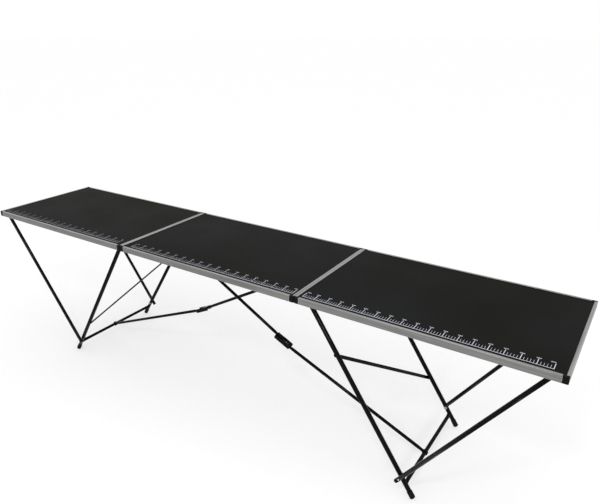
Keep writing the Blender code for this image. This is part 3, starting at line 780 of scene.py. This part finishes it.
def cut(target, cutter):
    """Boolean difference with a closed shell, applied to the piece's mesh; the cut faces are flat."""
    blade = solid_mesh("cutter", cutter)
    blade.shade_flat()
    tool = bpy.data.objects.new("cutter", blade)
    scene.collection.objects.link(tool)
    step = target.modifiers.new("cut", "BOOLEAN")
    step.operation = "DIFFERENCE"
    step.object = tool
    bpy.context.view_layer.update()
    shaped = target.evaluated_get(bpy.context.evaluated_depsgraph_get())
    result = bpy.data.meshes.new_from_object(shaped)
    target.modifiers.clear()
    old = target.data
    target.data = result
    result.name = target.name
    bpy.data.objects.remove(tool, do_unlink=True)
    bpy.data.meshes.remove(old)


def cross_cylinder(place, radius, reach, sides=ROUND_SIDES):
    """Closed cylinder along the table's width, reaching as far to both sides of a place on its axis."""
    profile = [(0, 0), (radius, 0), (radius, 2 * reach), (0, 2 * reach)]
    return turned(profile, place - (0, reach, 0), ALONG_WIDTH, sides)


enamel, tree, shader, place = finish("black_enamel", ENAMEL_COLOUR, specular=ENAMEL_SPECULAR)
scuffed = grain(tree, place, ENAMEL_SCUFF_SCALE, ENAMEL_SCUFF)
tint(tree, shader, scuffed["Value"], ENAMEL_COLOUR, ENAMEL_RUBBED)
overtint(tree, shader, edge_wear_and_highlight(tree, place, *ENAMEL_EDGE_WEAR), ENAMEL_WORN)
roughen(tree, shader, place, ENAMEL_GLOSS_SCALE, ENAMEL_ROUGHNESS)
peel = grain(tree, place, ENAMEL_PEEL_SCALE, FULL_SPAN)
relief(tree, shader, peel["Height"], *ENAMEL_PEEL)

stud_from = LEG_Y - LEG_RADIUS - STUD_HEAD
stud_long = STRUT_Y + STRUT_RADIUS - stud_from
stud = [(0, 0), (STUD_HEAD_RADIUS - CHAMFER, 0), (STUD_HEAD_RADIUS, CHAMFER),
        (STUD_HEAD_RADIUS, STUD_HEAD + TUBE_WALL), (STUD_RADIUS, STUD_HEAD + TUBE_WALL),
        (STUD_RADIUS, stud_long - CHAMFER), (STUD_RADIUS - CHAMFER, stud_long), (0, stud_long)]
crossbar_half = LEG_Y - LEG_RADIUS - PLAY
around = 2 * np.pi * (np.arange(BEAD_STEPS) + 0.5) / BEAD_STEPS
bead = np.stack([CROSSBAR_RADIUS + BEAD_RADIUS * np.cos(around), BEAD_RADIUS * np.sin(around)], 1)
leg_run, leg_length, crossbar_at = {}, {}, {}
for side, sign in SIDES.items():
    body = f"{side}_leg_frame"
    top = on_middle(f"{side}_leg_pivot")
    crossbar = on_middle(f"{side}_brace_lower_pivot")
    reach = np.linalg.norm(crossbar - top)
    run = unit(crossbar - top)
    leg_run[side], leg_length[side], crossbar_at[side] = run, reach + CROSSBAR_FROM_FOOT, crossbar
    hook = crossbar - run * HOOK_ABOVE_CROSSBAR
    tube = tube_profile(leg_length[side] - FOOT_BASE - PLAY, LEG_RADIUS, TUBE_WALL)
    for edge, way in EDGES.items():
        leg_top = top + (0, way * LEG_Y, 0)
        leg = piece(f"{side}_{edge}_leg_tube", turned(tube, leg_top, run), enamel, body,
                    f"{side}_{edge}_leg")
        cut(leg, cross_cylinder(leg_top, AXLE_RADIUS + PLAY, 2 * LEG_RADIUS, HOLE_SIDES))
        shell = turned(stud, hook + (0, way * stud_from, 0), (0, way, 0), STUD_SIDES)
        piece(f"{side}_{edge}_hook_stud", shell, zinc, body)

    bar = cross_cylinder(crossbar, CROSSBAR_RADIUS, crossbar_half)
    beads = [turned(bead, crossbar + (0, way * (crossbar_half - BEAD_RADIUS), 0), ALONG_WIDTH, closed=True)
             for way in EDGES.values()]
    piece(f"{side}_crossbar_welded", joined(bar, *beads), enamel, body,
          f"{side}_leg_crossbar")

    under = np.array([-sign * np.sqrt(1 - run[0] ** 2), 0.0, -abs(run[0])])
    high = top + run * DIAGONAL_HIGH + (0, -sign * LEG_Y, 0)
    low = top + run * DIAGONAL_LOW + (0, sign * LEG_Y, 0)
    along = unit(low - high)
    start = high - along * DIAGONAL_END + under * (LEG_RADIUS + PLAY)
    full = np.linalg.norm(low - high) + 2 * DIAGONAL_END
    wide = DIAGONAL_WIDTH / 2
    plate = filleted([(0, -wide), (full, -wide), (full, wide), (0, wide)], DIAGONAL_ROUND, DIAGONAL_STEPS)
    bar = extruded(plate, start, along, np.cross(along, under), under * DIAGONAL_THICKNESS)
    outside = under * (LEG_RADIUS + PLAY + DIAGONAL_THICKNESS)
    heads = [turned(dome(*DIAGONAL_RIVET), spot + outside, under, HEAD_SIDES) for spot in (high, low)]
    piece(f"{side}_diagonal_bar", joined(bar, *heads), enamel, body,
          f"{side}_leg_diagonal")

# Foot caps: black rubber cups pushed over the leg ends, with a thick round-edged base.
# Two shallow grip rings run round the skirt, and the base is scuffed from the floor.
RUBBER_COLOUR = (0.0038, 0.0038, 0.0038)
RUBBER_DUST = (0.0110, 0.0107, 0.0101)
RUBBER_SPECULAR = 0.06
RUBBER_DUST_SCALE = 70.0
RUBBER_DUST_SPAN = (0.0, 0.6)
RUBBER_SKIN_SCALE = 900.0
RUBBER_ROUGHNESS = (0.54, 0.74)
RUBBER_SKIN = (0.2, 0.0003)
FOOT_RADIUS = 0.011
FOOT_LENGTH = 0.030
FOOT_ROUND = 0.003
FOOT_LIFT = 0.0008
GRIP_AT = (0.008, 0.013)
GRIP_DEPTH = 0.0005
GRIP_WIDTH = 0.0008
SKIRT_STEPS = 40
SOLE_STEPS = 6


def groove(along, at):
    """Depth of a round groove: d exp(-((t - at) / w)^2)."""
    return GRIP_DEPTH * np.exp(-((along - at) / GRIP_WIDTH) ** 2)


rubber, tree, shader, place = finish("foot_rubber", RUBBER_COLOUR, specular=RUBBER_SPECULAR)
dust = grain(tree, place, RUBBER_DUST_SCALE, RUBBER_DUST_SPAN)
tint(tree, shader, dust["Value"], RUBBER_COLOUR, RUBBER_DUST)
skin = roughen(tree, shader, place, RUBBER_SKIN_SCALE, RUBBER_ROUGHNESS)
relief(tree, shader, skin["Height"], *RUBBER_SKIN)
foot_bore = LEG_RADIUS + PLAY
foot_floor = FOOT_LENGTH - FOOT_BASE + FOOT_LIFT
skirt = np.linspace(CHAMFER, FOOT_LENGTH - FOOT_ROUND, SKIRT_STEPS)
rings = FOOT_RADIUS - groove(skirt, GRIP_AT[0]) - groove(skirt, GRIP_AT[1])
bend = np.linspace(0.0, np.pi / 2, SOLE_STEPS + 1)[1:]
sole = np.stack([FOOT_RADIUS - FOOT_ROUND * (1 - np.cos(bend)),
                 FOOT_LENGTH - FOOT_ROUND * (1 - np.sin(bend))], 1)
inside = [(0, foot_floor), (foot_bore, foot_floor), (foot_bore, 0), (FOOT_RADIUS - CHAMFER, 0)]
cup = np.concatenate([inside, np.stack([rings, skirt], 1), sole, [(0, FOOT_LENGTH)]])
for side in SIDES:
    mouth = on_middle(f"{side}_leg_pivot") + leg_run[side] * (leg_length[side] - FOOT_LENGTH - FOOT_LIFT)
    for edge, way in EDGES.items():
        piece(f"{side}_{edge}_foot_cup", turned(cup, mouth + (0, way * LEG_Y, 0), leg_run[side]), rubber,
              f"{side}_leg_frame", f"{side}_{edge}_foot_cap")

# Struts: black enamelled tube from the outer axle down to the leg studs.
# A notch near the open lower end hooks over the stud; the sawn end is bare, bright steel.
STRUT_TAIL = 0.022
NOTCH_REACH = 0.040
RIM_PROUD = 0.0001

gap = STUD_RADIUS + PLAY
lip = TUBE_WALL / 2 + RIM_PROUD
rim = np.stack([STRUT_RADIUS - TUBE_WALL / 2 + lip * np.cos(around), lip * np.sin(around)], 1)
for side, sign in SIDES.items():
    hook = crossbar_at[side] - leg_run[side] * HOOK_ABOVE_CROSSBAR
    for edge, way in EDGES.items():
        body = f"{side}_{edge}_strut"
        top = on_middle(f"{side}_{edge}_strut_pivot") + (0, way * STRUT_Y, 0)
        end = hook + (0, way * STRUT_Y, 0)
        long = np.linalg.norm(end - top)
        run = unit(end - top)
        shell = turned(tube_profile(long + STRUT_TAIL, STRUT_RADIUS, TUBE_WALL), top, run)
        strut = piece(f"{side}_{edge}_strut_tube", shell, enamel, body, body)
        corners = np.stack([end + (-sign * gap, -2 * STRUT_RADIUS, -gap),
                            end + (sign * NOTCH_REACH, 2 * STRUT_RADIUS, gap)])
        cut(strut, boxes(corners.min(0)[None], corners.max(0)[None]))
        cut(strut, cross_cylinder(top, AXLE_RADIUS + PLAY, 2 * STRUT_RADIUS, HOLE_SIDES))
        mouth = top + run * (long + STRUT_TAIL - lip)
        shell = turned(rim, mouth, end - top, closed=True)
        piece(f"{side}_{edge}_strut_rim", shell, zinc, body)

# Long braces: two enamelled rods each, with eyes round the brace bar above and the crossbar below.
# A pressed channel welded on the lower rod holds the upper rod's end; rivets close its sides.
# The rods are drawn thinner where they meet their eyes and lie in the channel.
ROD_RADIUS = 0.0065
ROD_SWELL = 0.0008
ROD_SIDES = 40
NECK_AT_EYE = 0.016
NECK_AT_KNUCKLE = 0.062
NECK_TAPER = 0.006
BRACE_Y = {"right": -0.040, "left": -0.006}
BRACE_TAIL = 0.010
EYE_WALL = 0.0038
EYE_WIDTH = 0.012
EYE_ROUND = [0.0004, 0.0004, 0.0012, 0.0012]
KNUCKLE_INSET = 0.227
KNUCKLE_DROP = 0.394
CHANNEL_LENGTH = 0.088
CHANNEL_WALL = 0.0012
CHANNEL_SKIRT = 0.009
CHANNEL_ROUND = [0.0002, 0.0022, 0.0022, 0.0002, 0.0002, 0.001, 0.001, 0.0002]
CHANNEL_STEPS = 5
WELD_DEPTH = 0.0006
WEB_SETBACK = 0.008
PLATE_LAP = 0.002
PLATE_INSET = 0.00005
PLATE_ROUND = [0.0002, 0.006, 0.006, 0.0002]
PLATE_STEPS = 6
KNUCKLE_RIVET = (0.0045, 0.0018)


def brace_rod(eye, far, y, bar_radius):
    """Round rod from an eye to a plain end just past the knuckle, drawn thinner at both ends by a taper,
    and the eye's ring, a rounded rectangle turned about the bar."""
    bore = bar_radius + PLAY
    run = unit(far - eye)
    start = eye + run * (bore + EYE_WALL / 2) + (0, y, 0)
    long = np.linalg.norm(far - eye) - bore - EYE_WALL / 2 + BRACE_TAIL
    full = ROD_RADIUS + ROD_SWELL
    last = long - NECK_AT_KNUCKLE
    rod = [(0, 0), (ROD_RADIUS, 0), (ROD_RADIUS, NECK_AT_EYE), (full, NECK_AT_EYE + NECK_TAPER),
           (full, last - NECK_TAPER), (ROD_RADIUS, last), (ROD_RADIUS, long - CHAMFER),
           (ROD_RADIUS - CHAMFER, long), (0, long)]
    half, outer = EYE_WIDTH / 2, bore + EYE_WALL
    ring = filleted([(bore, -half), (bore, half), (outer, half), (outer, -half)], EYE_ROUND)
    eye_ring = turned(ring, eye + (0, y, 0), ALONG_WIDTH, closed=True)
    return joined(turned(rod, start, run, ROD_SIDES), eye_ring)


beside = ROD_RADIUS + PLAY
near, far = -(beside + ROD_RADIUS - WELD_DEPTH), beside + ROD_RADIUS + PLAY
left, right = near - CHANNEL_WALL, far + CHANNEL_WALL
for side, sign in SIDES.items():
    middle = BRACE_Y[side]
    upper = on_middle(f"{side}_brace_upper_pivot")
    lower = crossbar_at[side]
    knuckle = np.array([sign * (PANEL_LENGTH / 2 - KNUCKLE_INSET), 0.0, TABLE_HEIGHT - KNUCKLE_DROP])
    shell = brace_rod(upper, knuckle, middle + beside, BRACE_BAR_RADIUS)
    piece(f"{side}_upper_rod", shell, enamel, f"{side}_brace_upper", f"{side}_brace_upper")

    run_up = unit(knuckle - upper)
    run = unit(run_up + unit(lower - knuckle))
    lift = np.array([-sign * run[2], 0.0, sign * run[0]])
    roof = ROD_RADIUS + CHANNEL_LENGTH / 2 * abs(np.cross(run_up, run)[1]) + PLAY
    crest = roof + CHANNEL_WALL
    section = filleted([(left, -CHANNEL_SKIRT), (left, crest), (right, crest), (right, -CHANNEL_SKIRT),
                        (far, -CHANNEL_SKIRT), (far, roof), (near, roof), (near, -CHANNEL_SKIRT)],
                       CHANNEL_ROUND, CHANNEL_STEPS)
    start = knuckle + (0, middle, 0) - run * CHANNEL_LENGTH / 2
    hood = extruded(section, start, ALONG_WIDTH, lift, run * (CHANNEL_LENGTH / 2 - WEB_SETBACK))
    back, front = -WEB_SETBACK - PLATE_LAP, CHANNEL_LENGTH / 2
    bottom, upper_edge = PLATE_INSET - CHANNEL_SKIRT, crest - PLATE_INSET
    outline = filleted([(back, bottom), (front, bottom), (front, upper_edge), (back, upper_edge)],
                       PLATE_ROUND, PLATE_STEPS)
    plates = [extruded(outline, knuckle + (0, middle + face + PLATE_INSET, 0), run, lift,
                       (0, CHANNEL_WALL - 2 * PLATE_INSET, 0)) for face in (left, far)]
    rivets = [turned(dome(*KNUCKLE_RIVET), knuckle + (0, middle + face, 0), (0, way, 0), HEAD_SIDES)
              for face, way in ((left, -1), (right, 1))]
    rod = brace_rod(lower, knuckle, middle - beside, CROSSBAR_RADIUS)
    piece(f"{side}_lower_rod", joined(rod, hood, *plates, *rivets), enamel, f"{side}_brace_lower",
          f"{side}_brace_lower")
